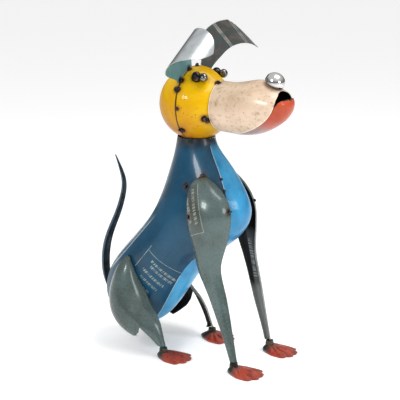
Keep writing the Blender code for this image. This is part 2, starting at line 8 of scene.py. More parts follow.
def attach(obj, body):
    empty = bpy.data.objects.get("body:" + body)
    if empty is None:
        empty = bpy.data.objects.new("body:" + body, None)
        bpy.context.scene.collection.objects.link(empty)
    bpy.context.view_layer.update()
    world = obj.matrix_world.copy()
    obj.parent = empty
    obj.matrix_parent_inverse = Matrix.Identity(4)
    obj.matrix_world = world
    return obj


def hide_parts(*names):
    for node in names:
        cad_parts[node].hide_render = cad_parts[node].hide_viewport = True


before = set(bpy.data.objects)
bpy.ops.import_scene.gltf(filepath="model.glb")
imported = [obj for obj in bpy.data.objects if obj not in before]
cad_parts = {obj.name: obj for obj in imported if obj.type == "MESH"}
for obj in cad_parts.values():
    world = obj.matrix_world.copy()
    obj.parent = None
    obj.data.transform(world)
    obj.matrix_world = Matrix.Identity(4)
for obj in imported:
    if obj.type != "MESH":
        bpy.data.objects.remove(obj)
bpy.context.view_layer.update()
print("frame loaded,", len(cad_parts), "sheets and lumps")

sheetWork = {"mergeWithin": 0.00002, "quadBend": 38, "quadSkew": 70, "rayStart": 0.00002, "sameSide": 0.35,
             "sidePull": 0.004, "alongSkin": 0.8, "smoothLevels": 2}


def letGo():
    if bpy.context.mode != "OBJECT":
        bpy.ops.object.mode_set(mode="OBJECT")
    bpy.ops.object.select_all(action="DESELECT")


def takeUp(piece):
    letGo()
    piece.select_set(True)
    bpy.context.view_layer.objects.active = piece


def editAll(piece, mode="VERT"):
    takeUp(piece)
    bpy.ops.object.mode_set(mode="EDIT")
    bpy.ops.mesh.select_mode(type=mode)
    bpy.ops.mesh.select_all(action="SELECT")


def applied(piece, kind, **settings):
    takeUp(piece)
    step = piece.modifiers.new(kind.lower(), kind)
    for key, value in settings.items():
        setattr(step, key, value)
    bpy.ops.object.modifier_apply(modifier=step.name)


def mergedCopy(node, name):
    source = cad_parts[node]
    piece = bpy.data.objects.new(name, source.data.copy())
    piece.data.name = name
    piece.data.materials.clear()
    bpy.context.scene.collection.objects.link(piece)
    editAll(piece)
    bpy.ops.mesh.remove_doubles(threshold=sheetWork["mergeWithin"])
    takeUp(piece)
    if piece.data.has_custom_normals:
        bpy.ops.mesh.customdata_custom_splitnormals_clear()
    return piece


def creaseCorners(piece, degrees):
    editAll(piece, "EDGE")
    bpy.ops.mesh.tris_convert_to_quads(face_threshold=math.radians(sheetWork["quadBend"]),
                                       shape_threshold=math.radians(sheetWork["quadSkew"]))
    bpy.ops.mesh.select_all(action="DESELECT")
    bpy.ops.mesh.edges_select_sharp(sharpness=math.radians(degrees))
    bpy.ops.transform.edge_crease(value=1.0)
    letGo()


def sortSheetFaces(piece, reachIn):
    # outer side is slot 0, cut edge is slot 1, inner side is slot 2
    mesh = piece.data
    corners = [vertex.co for vertex in mesh.vertices]
    tree = BVHTree.FromPolygons(corners, [tuple(face.vertices) for face in mesh.polygons])
    broad = set()
    for face in mesh.polygons:
        within = face.center - face.normal * sheetWork["rayStart"]
        reach = tree.ray_cast(within, -face.normal, reachIn)[3]
        if reach is not None:
            broad.add(face.index)
    touching = {}
    for face in mesh.polygons:
        for key in face.edge_keys:
            touching.setdefault(key, []).append(face.index)
    seen, islands = set(), []
    for start in sorted(broad):
        if start in seen:
            continue
        seen.add(start)
        group, queue = [], [start]
        while queue:
            here = queue.pop()
            group.append(here)
            for key in mesh.polygons[here].edge_keys:
                for other in touching[key]:
                    bend = mesh.polygons[here].normal.dot(mesh.polygons[other].normal)
                    if other in broad and other not in seen and bend > sheetWork["sameSide"]:
                        seen.add(other)
                        queue.append(other)
        islands.append(group)
    islands.sort(key=lambda group: -sum(mesh.polygons[f].area for f in group))
    for face in mesh.polygons:
        face.material_index = 1
    for group in islands[:2]:
        faces = [mesh.polygons[f] for f in group]
        middle = sum((face.center * face.area for face in faces), Vector()) / sum(face.area for face in faces)
        bulge = sum(face.normal.dot(face.center - middle) * face.area for face in faces)
        for face in faces:
            face.material_index = 0 if bulge > 0 else 2
    large = [f for group in islands[:2] for f in group]

    def nearestLarge(f):
        here = mesh.polygons[f]
        return min(large, key=lambda g: (mesh.polygons[g].center - here.center).length
                   - sheetWork["sidePull"] * mesh.polygons[g].normal.dot(here.normal))

    for group in islands[2:]:
        for f in group:
            mesh.polygons[f].material_index = mesh.polygons[nearestLarge(f)].material_index
    for face in mesh.polygons:
        if large and face.material_index == 1:
            # a face that lies along the skin, or backs it, is no cut edge
            near = mesh.polygons[nearestLarge(face.index)]
            along = near.normal.dot(face.normal)
            if abs(along) > sheetWork["alongSkin"]:
                face.material_index = near.material_index if along > 0 else 2 - near.material_index
    return len(islands)


def measureDistances(piece, welds):
    # how far each point lies from the cut edge and from the nearest weld, for the paint to read
    mesh = piece.data
    rim = [tuple(face.vertices) for face in mesh.polygons if face.material_index == 1]
    tree = BVHTree.FromPolygons([vertex.co for vertex in mesh.vertices], rim) if rim else None
    fromEdge = mesh.attributes.new("fromEdge", "FLOAT", "POINT")
    fromWeld = mesh.attributes.new("fromWeld", "FLOAT", "POINT")
    for vertex in mesh.vertices:
        fromEdge.data[vertex.index].value = tree.find_nearest(vertex.co)[3] if tree else 1.0
        reach = [(vertex.co - spot).length - size for spot, size in welds]
        fromWeld.data[vertex.index].value = min(reach) if reach else 1.0


def settle(piece, finishes, nodes=(), smooth=35):
    takeUp(piece)
    bpy.ops.object.shade_smooth_by_angle(angle=math.radians(smooth))
    for finish in finishes:
        piece.data.materials.append(finish)
    letGo()
    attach(piece, "root")
    if nodes:
        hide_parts(*nodes)


def addNode(tree, kind, **settings):
    made = tree.nodes.new(kind)
    for key, value in settings.items():
        setattr(made, key, value)
    return made


def feed(tree, value, socket):
    if isinstance(value, bpy.types.NodeSocket):
        tree.links.new(value, socket)
    elif hasattr(value, "__len__") and len(value) == 3 and len(socket.default_value) == 4:
        socket.default_value = (*value, 1.0)
    else:
        socket.default_value = value


def maths(tree, operation, first, second=0.0, third=0.0, clamp=False):
    made = addNode(tree, "ShaderNodeMath", operation=operation, use_clamp=clamp)
    feed(tree, first, made.inputs[0])
    feed(tree, second, made.inputs[1])
    feed(tree, third, made.inputs[2])
    return made.outputs[0]


def step(tree, value, low, high, fromValue=0.0, toValue=1.0):
    made = addNode(tree, "ShaderNodeMapRange", interpolation_type="SMOOTHSTEP")
    feed(tree, value, made.inputs["Value"])
    feed(tree, low, made.inputs["From Min"])
    feed(tree, high, made.inputs["From Max"])
    feed(tree, fromValue, made.inputs["To Min"])
    feed(tree, toValue, made.inputs["To Max"])
    return made.outputs["Result"]


def mixed(tree, share, first, second, blend="MIX"):
    made = addNode(tree, "ShaderNodeMix", data_type="RGBA", blend_type=blend)
    feed(tree, share, made.inputs[0])
    feed(tree, first, made.inputs[6])
    feed(tree, second, made.inputs[7])
    return made.outputs[2]


def stretched(tree, place, scale):
    made = addNode(tree, "ShaderNodeMapping")
    feed(tree, place, made.inputs["Vector"])
    made.inputs["Scale"].default_value = scale
    return made.outputs["Vector"]


def cloud(tree, place, scale, detail=3.0, roughness=0.55, distortion=0.0):
    made = addNode(tree, "ShaderNodeTexNoise")
    feed(tree, place, made.inputs["Vector"])
    made.inputs["Scale"].default_value = scale
    made.inputs["Detail"].default_value = detail
    made.inputs["Roughness"].default_value = roughness
    made.inputs["Distortion"].default_value = distortion
    return made.outputs["Fac"]


def specks(tree, place, scale, size):
    made = addNode(tree, "ShaderNodeTexVoronoi", feature="F1")
    feed(tree, place, made.inputs["Vector"])
    made.inputs["Scale"].default_value = scale
    made.inputs["Randomness"].default_value = 1.0
    return step(tree, made.outputs["Distance"], size * 0.6, size, 1.0, 0.0)


def ownValue(tree, name):
    return addNode(tree, "ShaderNodeAttribute", attribute_name=name).outputs["Fac"]


def newFinish(name):
    finish = bpy.data.materials.new(name)
    finish.use_nodes = True
    tree = finish.node_tree
    shader = tree.nodes["Principled BSDF"]
    place = addNode(tree, "ShaderNodeTexCoord").outputs["Object"]
    return finish, tree, shader, place


def dent(tree, shader, heights):
    # heights: list of (socket, height in metres), stacked into one bump
    normal = None
    for height, depth in heights:
        made = addNode(tree, "ShaderNodeBump")
        made.inputs["Strength"].default_value = 1.0
        made.inputs["Distance"].default_value = depth
        feed(tree, height, made.inputs["Height"])
        if normal:
            tree.links.new(normal, made.inputs["Normal"])
        normal = made.outputs["Normal"]
    tree.links.new(normal, shader.inputs["Normal"])


def paintedSheet(name, look):
    finish, tree, shader, place = newFinish(name)
    broad = cloud(tree, place, look["patchScale"], 4, 0.6, 0.4)
    colour = mixed(tree, step(tree, broad, 0.38, 0.66), look["paint"], look["second"])
    # a colour blended in along one direction; on the head this is painted shade toward the bottom and back
    if "fade" in look:
        fade = look["fade"]
        along = addNode(tree, "ShaderNodeVectorMath", operation="DOT_PRODUCT")
        feed(tree, place, along.inputs[0])
        along.inputs[1].default_value = fade["toward"]
        soft = maths(tree, "MULTIPLY_ADD", broad, fade["ragged"], along.outputs["Value"])
        share = step(tree, soft, fade["begin"], fade["end"], 0.0, fade["share"])
        colour = mixed(tree, share, colour, fade["colour"])
    grain = cloud(tree, place, look["grainScale"], 8, 0.7)
    colour = mixed(tree, step(tree, grain, 0.52, 0.72, 0.0, look["grainShare"]), colour, look["grain"])
    if "streak" in look:
        streak = look["streak"]
        lines = cloud(tree, stretched(tree, place, streak["stretch"]), streak["scale"], 5, 0.65)
        colour = mixed(tree, step(tree, lines, 0.56, 0.74, 0.0, streak["share"]), colour, streak["colour"])
    if "marks" in look:
        for share, ink in look["marks"](tree, place, broad, grain):
            colour = mixed(tree, share, colour, ink)
    uneven = maths(tree, "SUBTRACT", grain, 0.5)
    ragged = maths(tree, "MULTIPLY_ADD", uneven, look["burnReach"] * 1.5, ownValue(tree, "fromWeld"))
    burn = step(tree, ragged, 0.0, look["burnReach"], 1.0, 0.0)
    halo = step(tree, ragged, 0.0, look["burnReach"] * 2.2, look["haloShare"], 0.0)
    colour = mixed(tree, halo, colour, look["halo"])
    colour = mixed(tree, burn, colour, look["burn"])
    # a band along the cut edge in the look's edge colour: on the jaw it is painted shade in the gap beside the
    # cheeks, on the muzzle a painted highlight along the edge
    raggedFromEdge = maths(tree, "MULTIPLY_ADD", uneven, look["edgeWidth"] * 1.8, ownValue(tree, "fromEdge"))
    edge = step(tree, raggedFromEdge, look["edgeWidth"] * 0.5, look["edgeWidth"], look["edgeShare"], 0.0)
    colour = mixed(tree, edge, colour, look["edge"])
    chips = specks(tree, place, look["chipScale"], look["chipSize"])
    patches = step(tree, broad, look["chipFrom"], look["chipFrom"] + 0.06)
    chips = maths(tree, "MULTIPLY", chips, patches)
    colour = mixed(tree, chips, colour, look["chip"])
    tree.links.new(colour, shader.inputs["Base Color"])
    evenRough = look["rough"] - look["roughSpread"] * 0.5
    rough = maths(tree, "MULTIPLY_ADD", grain, look["roughSpread"], evenRough)
    rough = maths(tree, "MULTIPLY_ADD", burn, 0.18, rough, clamp=True)
    tree.links.new(rough, shader.inputs["Roughness"])
    shader.inputs["Metallic"].default_value = look["metallic"]
    shader.inputs["Specular IOR Level"].default_value = look["shine"]
    shader.inputs["Coat Weight"].default_value = look["coat"]
    shader.inputs["Coat Roughness"].default_value = look["coatRough"]
    hammer = cloud(tree, place, look["hammerScale"], 2, 0.5)
    dent(tree, shader, [(hammer, look["hammerDepth"]), (grain, look["grainDepth"]), (chips, -0.00025)])
    return finish


def burntSteel(name, look):
    finish, tree, shader, place = newFinish(name)
    broad = cloud(tree, place, look["patchScale"], 5, 0.65, 0.5)
    colour = mixed(tree, step(tree, broad, 0.35, 0.62), look["dark"], look["warm"])
    fine = cloud(tree, place, look["fineScale"], 6, 0.7)
    colour = mixed(tree, step(tree, fine, 0.55, 0.75, 0.0, 0.8), colour, look["bright"])
    tree.links.new(colour, shader.inputs["Base Color"])
    rough = step(tree, fine, 0.3, 0.8, look["rough"], look["rough"] + 0.25)
    tree.links.new(rough, shader.inputs["Roughness"])
    shader.inputs["Metallic"].default_value = look["metallic"]
    dent(tree, shader, [(broad, look["depth"]), (fine, look["depth"] * 0.4)])
    return finish


def bareSheet(name, look):
    finish, tree, shader, place = newFinish(name)
    broad = cloud(tree, place, look["patchScale"], 4, 0.6, 0.6)
    colour = mixed(tree, step(tree, broad, 0.36, 0.64), look["bright"], look["dull"])
    fine = cloud(tree, stretched(tree, place, look["brush"]), look["fineScale"], 6, 0.7)
    colour = mixed(tree, step(tree, fine, 0.5, 0.8, 0.0, 0.5), colour, look["scratch"])
    if "marks" in look:
        for share, ink in look["marks"](tree, place, broad, fine):
            colour = mixed(tree, share, colour, ink)
    uneven = maths(tree, "SUBTRACT", fine, 0.5)
    ragged = maths(tree, "MULTIPLY_ADD", uneven, look["burnReach"], ownValue(tree, "fromWeld"))
    burn = step(tree, ragged, 0.0, look["burnReach"], 1.0, 0.0)
    colour = mixed(tree, burn, colour, look["burn"])
    tree.links.new(colour, shader.inputs["Base Color"])
    rough = step(tree, broad, 0.3, 0.7, look["rough"], look["rough"] + look["roughSpread"])
    tree.links.new(rough, shader.inputs["Roughness"])
    shader.inputs["Metallic"].default_value = look["metallic"]
    dent(tree, shader, [(broad, look["depth"]), (fine, 0.00008)])
    return finish


def alongWay(tree, place, origin, way):
    made = addNode(tree, "ShaderNodeVectorMath", operation="DOT_PRODUCT")
    feed(tree, place, made.inputs[0])
    made.inputs[1].default_value = way
    return maths(tree, "SUBTRACT", made.outputs["Value"], Vector(origin).dot(Vector(way)))


def between(tree, value, low, high, soft=0.0004):
    rise = step(tree, value, low - soft, low + soft)
    return maths(tree, "MULTIPLY", rise, step(tree, value, high - soft, high + soft, 1.0, 0.0))


def boxed(tree, across, down, box, soft=0.0004):
    first = between(tree, across, box[0], box[1], soft)
    return maths(tree, "MULTIPLY", first, between(tree, down, box[2], box[3], soft))


def anyOf(tree, shares):
    whole = shares[0]
    for share in shares[1:]:
        whole = maths(tree, "MAXIMUM", whole, share)
    return whole


def strokeRows(tree, across, down, rows, slope, height, pitch):
    # rows of short upright strokes: (down, from, to) for each row
    slanted = maths(tree, "MULTIPLY_ADD", across, -slope, down)
    made = addNode(tree, "ShaderNodeCombineXYZ")
    feed(tree, maths(tree, "MULTIPLY_ADD", slanted, 0.25, across), made.inputs[0])
    bars = step(tree, cloud(tree, made.outputs[0], pitch, 1, 0.5), 0.47, 0.52)
    half = height / 2
    lines = [boxed(tree, across, slanted, (start, end, middle - half, middle + half))
             for middle, start, end in rows]
    return maths(tree, "MULTIPLY", anyOf(tree, lines), bars)


flankStrokes = {"origin": (-0.0580, -0.0862, 0.2368), "across": (0.69, 0.43, -0.58),
                "down": (-0.636, -0.018, -0.771),
                "slope": 0.145, "height": 0.0072, "pitch": 360, "ink": (0.40, 0.46, 0.40), "strength": 0.75,
                "rows": [(0.012, 0.020, 0.092), (0.024, 0.026, 0.088), (0.044, 0.016, 0.076),
                         (0.063, 0.022, 0.070), (0.083, 0.026, 0.062), (0.101, 0.030, 0.052)],
                "lines": [(-0.0006, 0.0006, -0.012, 0.058), (0.000, 0.094, -0.0006, 0.0006)]}
backSeam = {"origin": (0.0046, -0.1683, 0.3261), "way": (-0.7142, -0.3015, 0.6317), "top": 0.315,
            "fade": 0.03, "worn": (0.30, 0.36, 0.39), "rule": (0.52, 0.56, 0.56),
            "ruleHalf": 0.0008, "ruleShare": 0.8}


def flankMarks(tree, place, broad, grain):
    look = flankStrokes
    across = alongWay(tree, place, look["origin"], look["across"])
    down = alongWay(tree, place, look["origin"], look["down"])
    rows = strokeRows(tree, across, down, look["rows"], look["slope"], look["height"], look["pitch"])
    frames = anyOf(tree, [boxed(tree, across, down, box, 0.0003) for box in look["lines"]])
    worn = step(tree, grain, 0.62, 0.50, 0.0, look["strength"])
    seam = backSeam
    aside = alongWay(tree, place, seam["origin"], seam["way"])
    height = alongWay(tree, place, (0, 0, 0), (0, 0, 1))
    low = step(tree, height, seam["top"] - seam["fade"], seam["top"], 1.0, 0.0)
    mottled = maths(tree, "MULTIPLY", step(tree, aside, 0.0, 0.0012), low)
    blotches = step(tree, maths(tree, "ADD", broad, grain), 0.86, 1.10, 0.15, 0.8)
    mottled = maths(tree, "MULTIPLY", mottled, blotches)
    rule = maths(tree, "MULTIPLY", between(tree, aside, -seam["ruleHalf"], seam["ruleHalf"], 0.0005), low)
    return [(mottled, seam["worn"]), (maths(tree, "MULTIPLY", rule, seam["ruleShare"]), seam["rule"]),
            (maths(tree, "MULTIPLY", anyOf(tree, [rows, frames]), worn), look["ink"])]


legStrokes = {"origin": (0.0700, -0.0800, 0.3780), "up": (-0.323, 0.278, 0.905),
              "back": (-0.932, -0.259, -0.254),
              "height": 0.0070, "pitch": 340, "ink": (0.42, 0.44, 0.38), "strength": 0.7,
              "patch": (0.075, 0.070, 0.062), "patchBox": (-0.084, 0.018, 0.001, 0.036), "patchShare": 0.45,
              "rows": [(0.012, -0.066, 0.010), (0.027, -0.062, -0.006)],
              "lines": [(-0.084, 0.020, -0.0006, 0.0007), (-0.0846, -0.0834, 0.000, 0.036)]}


def legMarks(tree, place, broad, grain):
    look = legStrokes
    up = alongWay(tree, place, look["origin"], look["up"])
    back = alongWay(tree, place, look["origin"], look["back"])
    patch = boxed(tree, up, back, look["patchBox"], 0.0008)
    rows = strokeRows(tree, up, back, look["rows"], 0.0, look["height"], look["pitch"])
    frames = anyOf(tree, [boxed(tree, up, back, box, 0.0003) for box in look["lines"]])
    worn = step(tree, grain, 0.62, 0.50, 0.0, look["strength"])
    return [(maths(tree, "MULTIPLY", patch, look["patchShare"]), look["patch"]),
            (maths(tree, "MULTIPLY", anyOf(tree, [rows, frames]), worn), look["ink"])]


earFold = {"origin": (0.0350, -0.0820, 0.6750), "way": (0.999, -0.043, -0.020), "ragged": 0.02,
           "from": -0.030, "to": 0.014, "soft": 0.010, "share": 0.8, "colour": (0.10, 0.105, 0.11)}


def foldShadeMarks(tree, place, broad, fine):
    # painted shade: a dark band where the near ear folds over
    look = earFold
    across = alongWay(tree, place, look["origin"], look["way"])
    ragged = maths(tree, "MULTIPLY_ADD", broad, look["ragged"], across)
    band = between(tree, ragged, look["from"], look["to"], look["soft"])
    return [(maths(tree, "MULTIPLY", band, look["share"]), look["colour"])]


earRules = {"origin": (0.0309, 0.0433, 0.7131), "way": (0.993, 0.112, 0.030),
            "places": (-0.003, 0.000, 0.0313, 0.036),
            "half": 0.0012, "share": 0.7, "colour": (0.42, 0.44, 0.42),
            "tint": (0.06, 0.11, 0.115), "tintShare": 0.55}


def stripeMarks(tree, place, broad, fine):
    # pale rules across the far ear
    look = earRules
    along = alongWay(tree, place, look["origin"], look["way"])
    half = look["half"]
    rules = [between(tree, along, spot - half, spot + half, 0.0004) for spot in look["places"]]
    return [(maths(tree, "MULTIPLY", anyOf(tree, rules), look["share"]), look["colour"]),
            (step(tree, broad, 0.50, 0.62, 0.0, look["tintShare"]), look["tint"])]


noseTint = {"origin": (0.2000, -0.0088, 0.6020), "way": (0.45, 0.0, 0.893), "ragged": 0.004,
            "from": 0.009, "to": 0.015, "share": 0.8, "colour": (0.12, 0.075, 0.05)}


def noseMarks(tree, place, broad, fine):
    # brown heat tint round the foot of the knob
    look = noseTint
    rise = alongWay(tree, place, look["origin"], look["way"])
    ragged = maths(tree, "MULTIPLY_ADD", broad, look["ragged"], rise)
    return [(step(tree, ragged, look["from"], look["to"], look["share"], 0.0), look["colour"])]


farLegStrokes = {"origin": (0.1979, 0.0, 0.0), "way": (0.839, 0.545, 0.17), "turns": 0.150, "top": 0.262,
                 "height": 0.0075, "pitch": 330, "paint": (0.27, 0.29, 0.28), "ink": (0.62, 0.64, 0.62),
                 "rows": [(0.0005, 0.165, 0.250)], "stripShare": 0.5, "lowShare": 0.9, "inkShare": 0.85}


def farLegMarks(tree, place, broad, fine):
    # the hollow side of the far front leg: painted low down, and a strip of strokes along its fore edge
    look = farLegStrokes
    aside = alongWay(tree, place, look["origin"], look["way"])
    height = alongWay(tree, place, (0, 0, 0), (0, 0, 1))
    ragged = maths(tree, "MULTIPLY_ADD", broad, 0.03, height)
    low = step(tree, ragged, look["turns"], look["turns"] + 0.03, 1.0, 0.0)
    under = step(tree, height, look["top"], look["top"] + 0.015, 1.0, 0.0)
    strip = maths(tree, "MULTIPLY", step(tree, aside, -0.005, -0.003), under)
    strokes = strokeRows(tree, height, aside, look["rows"], 0.0, look["height"], look["pitch"])
    worn = step(tree, fine, 0.66, 0.52, 0.0, look["inkShare"])
    return [(maths(tree, "MULTIPLY", strip, look["stripShare"]), look["paint"]),
            (maths(tree, "MULTIPLY", low, look["lowShare"]), look["paint"]),
            (maths(tree, "MULTIPLY", strokes, worn), look["ink"])]


cutEdgeLook = {"patchScale": 60, "bright": (0.50, 0.48, 0.44), "dull": (0.30, 0.27, 0.24), "brush": (1, 1, 1),
               "fineScale": 420, "scratch": (0.12, 0.09, 0.07), "burnReach": 0.008,
               "burn": (0.02, 0.016, 0.014),
               "rough": 0.32, "roughSpread": 0.2, "metallic": 0.85, "depth": 0.0001}
darkInsideLook = {"patchScale": 22, "bright": (0.045, 0.045, 0.048), "dull": (0.018, 0.016, 0.015),
                  "brush": (1, 1, 0.3), "fineScale": 160, "scratch": (0.10, 0.085, 0.07), "burnReach": 0.012,
                  "burn": (0.01, 0.008, 0.007), "rough": 0.38, "roughSpread": 0.2,
                  "metallic": 0.55, "depth": 0.0003}
tailInsideLook = dict(darkInsideLook, bright=(0.035, 0.070, 0.100), dull=(0.015, 0.030, 0.042),
                      metallic=0.2, patchScale=40)
# near black inside the muzzle and jaw: painted shade in the mouth hollow
mouthShadeLook = dict(darkInsideLook, bright=(0.006, 0.006, 0.007), dull=(0.003, 0.003, 0.003),
                       scratch=(0.014, 0.012, 0.010), metallic=0.0, rough=0.6)

yellowLook = {"paint": (0.72, 0.45, 0.001), "second": (0.66, 0.37, 0.001), "patchScale": 14,
              # fade on the head: painted shade, a deeper orange toward the bottom and back
              "fade": {"toward": (-0.55, 0.10, -0.83), "ragged": 0.05, "begin": -0.480, "end": -0.375,
                       "share": 0.9, "colour": (0.36, 0.11, 0.002)},
              "grain": (0.62, 0.30, 0.01), "grainScale": 260, "grainShare": 0.25,
              "burnReach": 0.005, "burn": (0.018, 0.012, 0.012), "halo": (0.30, 0.12, 0.02),
              "haloShare": 0.65, "edge": (0.05, 0.03, 0.015), "edgeWidth": 0.0022, "edgeShare": 0.95,
              "chip": (0.09, 0.05, 0.02), "chipScale": 130, "chipSize": 0.16, "chipFrom": 0.50,
              "rough": 0.36, "roughSpread": 0.16, "metallic": 0.0, "shine": 0.10, "coat": 0.35,
              "coatRough": 0.07, "hammerScale": 24, "hammerDepth": 0.0007, "grainDepth": 0.00012}
creamLook = {"paint": (0.64, 0.50, 0.37), "second": (0.52, 0.38, 0.27), "patchScale": 16,
             "fade": {"toward": (0.35, 0.0, -0.94), "ragged": 0.04, "begin": -0.480, "end": -0.440, "share": 0.6,
                      "colour": (0.74, 0.58, 0.45)},
             "grain": (0.27, 0.19, 0.125), "grainScale": 135, "grainShare": 0.8,
             "streak": {"stretch": (1.0, 1.0, 1.0), "scale": 46, "share": 0.75, "colour": (0.34, 0.235, 0.155)},
             "burnReach": 0.006, "burn": (0.03, 0.02, 0.018), "halo": (0.35, 0.22, 0.14), "haloShare": 0.6,
             # edge on the muzzle: painted highlight, a pale band along the cream shell's edge
             "edge": (0.86, 0.76, 0.62), "edgeWidth": 0.0022, "edgeShare": 0.85,
             "chip": (0.22, 0.13, 0.08), "chipScale": 170, "chipSize": 0.13, "chipFrom": 0.46,
             "rough": 0.34, "roughSpread": 0.2, "metallic": 0.0, "shine": 0.3, "coat": 0.35,
             "coatRough": 0.12, "hammerScale": 18, "hammerDepth": 0.0005, "grainDepth": 0.00015}
jawLook = {"paint": (0.52, 0.085, 0.030), "second": (0.42, 0.070, 0.03), "patchScale": 30,
           "fade": {"toward": (-0.55, 0.0, -0.83), "ragged": 0.02, "begin": -0.560, "end": -0.505,
                    "share": 0.92, "colour": (0.36, 0.30, 0.29)},
           "grain": (0.45, 0.09, 0.05), "grainScale": 240, "grainShare": 0.3,
           "burnReach": 0.006, "burn": (0.03, 0.02, 0.018), "halo": (0.2, 0.08, 0.05), "haloShare": 0.5,
           # edge on the jaw: painted shade, a black band standing for the dark gap between jaw and cheeks
           "edge": (0.012, 0.010, 0.010), "edgeWidth": 0.0030, "edgeShare": 0.97,
           "chip": (0.20, 0.04, 0.03), "chipScale": 160, "chipSize": 0.10, "chipFrom": 0.55,
           "rough": 0.36, "roughSpread": 0.15, "metallic": 0.0, "shine": 0.3, "coat": 0.3, "coatRough": 0.15,
           "hammerScale": 30, "hammerDepth": 0.0006, "grainDepth": 0.00012}
blueLook = {"marks": flankMarks, "paint": (0.009, 0.080, 0.150),
            "second": (0.007, 0.050, 0.095), "patchScale": 9,
            "fade": {"toward": (0.0, 0.0, 1.0), "ragged": 0.016, "begin": 0.458, "end": 0.486, "share": 0.95,
                     "colour": (0.016, 0.015, 0.016)},
            "grain": (0.06, 0.12, 0.17), "grainScale": 220, "grainShare": 0.35,
            "streak": {"stretch": (1.0, 1.0, 0.12), "scale": 55, "share": 0.35, "colour": (0.014, 0.045, 0.09)},
            "burnReach": 0.007, "burn": (0.012, 0.010, 0.012), "halo": (0.05, 0.07, 0.09), "haloShare": 0.7,
            "edge": (0.010, 0.016, 0.022), "edgeWidth": 0.0012, "edgeShare": 0.8,
            "chip": (0.13, 0.17, 0.18), "chipScale": 150, "chipSize": 0.08, "chipFrom": 0.62,
            "rough": 0.30, "roughSpread": 0.16, "metallic": 0.0, "shine": 0.3, "coat": 0.30,
            "coatRough": 0.07, "hammerScale": 11, "hammerDepth": 0.0010, "grainDepth": 0.0001}
plainBlueLook = {key: value for key, value in blueLook.items() if key != "marks"}
chestLook = dict(plainBlueLook, paint=(0.060, 0.370, 0.640), second=(0.028, 0.225, 0.440),
                 grain=(0.06, 0.27, 0.42),
                 streak={"stretch": (1.0, 1.0, 0.2), "scale": 40, "share": 0.3, "colour": (0.012, 0.07, 0.17)},
                 edge=(0.70, 0.72, 0.70), edgeWidth=0.0014, edgeShare=0.8)
spineLook = dict(plainBlueLook, paint=(0.07, 0.17, 0.27), second=(0.34, 0.40, 0.43), patchScale=16,
                 grain=(0.40, 0.42, 0.40), grainShare=0.6,
                 streak={"stretch": (1.0, 1.0, 0.35), "scale": 70, "share": 0.7, "colour": (0.02, 0.035, 0.05)},
                 edge=(0.45, 0.47, 0.47), edgeWidth=0.0012, edgeShare=0.7)
greenLook = {"paint": (0.105, 0.150, 0.145), "second": (0.072, 0.098, 0.090), "patchScale": 12,
             "grain": (0.17, 0.19, 0.175), "grainScale": 200, "grainShare": 0.30,
             "streak": {"stretch": (1.0, 1.0, 0.15), "scale": 60, "share": 0.45, "colour": (0.075, 0.085, 0.07)},
             "burnReach": 0.007, "burn": (0.015, 0.013, 0.012), "halo": (0.10, 0.075, 0.05), "haloShare": 0.8,
             "edge": (0.05, 0.045, 0.04), "edgeWidth": 0.0010, "edgeShare": 0.7,
             "chip": (0.10, 0.07, 0.05), "chipScale": 140, "chipSize": 0.10, "chipFrom": 0.54,
             "rough": 0.28, "roughSpread": 0.18, "metallic": 0.15, "shine": 0.3, "coat": 0.4,
             "coatRough": 0.08, "hammerScale": 16, "hammerDepth": 0.0012, "grainDepth": 0.00012}
pawLook = {"paint": (0.38, 0.050, 0.020), "second": (0.22, 0.028, 0.013), "patchScale": 40,
           "grain": (0.30, 0.05, 0.02), "grainScale": 260, "grainShare": 0.35,
           "burnReach": 0.012, "burn": (0.016, 0.016, 0.015), "halo": (0.10, 0.08, 0.065), "haloShare": 0.85,
           "edge": (0.012, 0.010, 0.010), "edgeWidth": 0.0012, "edgeShare": 0.0,
           "chip": (0.05, 0.03, 0.02), "chipScale": 160, "chipSize": 0.10, "chipFrom": 0.5,
           "rough": 0.28, "roughSpread": 0.15, "metallic": 0.0, "shine": 0.3, "coat": 0.6, "coatRough": 0.06,
           "hammerScale": 60, "hammerDepth": 0.0008, "grainDepth": 0.00015}
zincLook = {"patchScale": 10, "bright": (0.54, 0.57, 0.58), "dull": (0.30, 0.325, 0.335),
            "brush": (1, 1, 0.25),
            "fineScale": 90, "scratch": (0.42, 0.44, 0.45), "burnReach": 0.006, "burn": (0.05, 0.045, 0.04),
            "rough": 0.30, "roughSpread": 0.15, "metallic": 0.9, "depth": 0.0008}
tealLook = dict(zincLook, bright=(0.17, 0.33, 0.34), dull=(0.11, 0.24, 0.26),
                scratch=(0.07, 0.13, 0.14), rough=0.4, metallic=0.1, depth=0.0004)
darkEarLook = dict(darkInsideLook, bright=(0.085, 0.080, 0.074), dull=(0.045, 0.041, 0.038),
                   scratch=(0.13, 0.12, 0.11), metallic=0.3, rough=0.35)
weldLook = {"patchScale": 90, "dark": (0.020, 0.018, 0.020), "warm": (0.09, 0.065, 0.055), "fineScale": 300,
            "bright": (0.40, 0.38, 0.38), "rough": 0.20, "metallic": 0.9, "depth": 0.0006}
ankleLook = dict(weldLook, patchScale=45, dark=(0.025, 0.022, 0.02), warm=(0.12, 0.095, 0.07))
chromeLook = {"patchScale": 30, "bright": (0.80, 0.79, 0.77), "dull": (0.62, 0.61, 0.60), "brush": (1, 1, 1),
              "fineScale": 220, "scratch": (0.55, 0.52, 0.5), "burnReach": 0.005, "burn": (0.10, 0.07, 0.05),
              "rough": 0.07, "roughSpread": 0.08, "metallic": 1.0, "depth": 0.00015}
ballLook = dict(chromeLook, bright=(0.26, 0.25, 0.24), dull=(0.11, 0.10, 0.10), rough=0.12)

